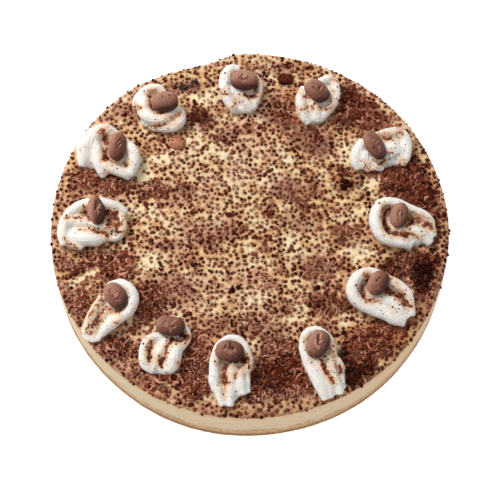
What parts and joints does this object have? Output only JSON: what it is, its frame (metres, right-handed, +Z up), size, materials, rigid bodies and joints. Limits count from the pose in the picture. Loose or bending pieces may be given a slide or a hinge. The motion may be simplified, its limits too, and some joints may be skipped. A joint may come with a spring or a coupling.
{
  "type": "mocha cake",
  "caption": "Low round cream cake on a thin sponge base, strewn with grated chocolate, with piped swirls of whipped cream round the rim that each hold a chocolate coffee bean.",
  "frame": {"origin": "middle of the flat underside of the sponge base, at the centre of its round outline", "axes": "+Z up through the cake, +X to the right and +Y to the back as seen from the side that faces the viewer; the pressed-in stretch of the rim is at the back left"},
  "size_m": [0.26, 0.26, 0.0577],
  "materials": {
    "sponge": "matte, porous, light brown sponge with a darker crust",
    "coffee_cream": "matte, pale coffee-coloured cream, dusted and strewn with grated chocolate on top",
    "whipped_cream": "soft satin white whipped cream with specks of chocolate",
    "chocolate": "satin milk chocolate",
    "grated_chocolate": "matte grated chocolate, dark with a pinkish-brown bloom"
  },
  "bodies": {
    "root": {"sponge_base": "sponge", "coffee_cream": "coffee_cream", "cream_swirl_01": "whipped_cream", "cream_swirl_02": "whipped_cream", "cream_swirl_03": "whipped_cream", "cream_swirl_04": "whipped_cream", "cream_swirl_05": "whipped_cream", "cream_swirl_06": "whipped_cream", "cream_swirl_07": "whipped_cream", "cream_swirl_08": "whipped_cream", "cream_swirl_09": "whipped_cream", "cream_swirl_10": "whipped_cream", "cream_swirl_11": "whipped_cream", "cream_swirl_12": "whipped_cream", "chocolate_bean_01": "chocolate", "chocolate_bean_02": "chocolate", "chocolate_bean_03": "chocolate", "chocolate_bean_04": "chocolate", "chocolate_bean_05": "chocolate", "chocolate_bean_06": "chocolate", "chocolate_bean_07": "chocolate", "chocolate_bean_08": "chocolate", "chocolate_bean_09": "chocolate", "chocolate_bean_10": "chocolate", "chocolate_bean_11": "chocolate", "chocolate_bean_12": "chocolate", "chocolate_bit_01": "grated_chocolate", "chocolate_bit_02": "grated_chocolate"}
  },
  "joints": []
}
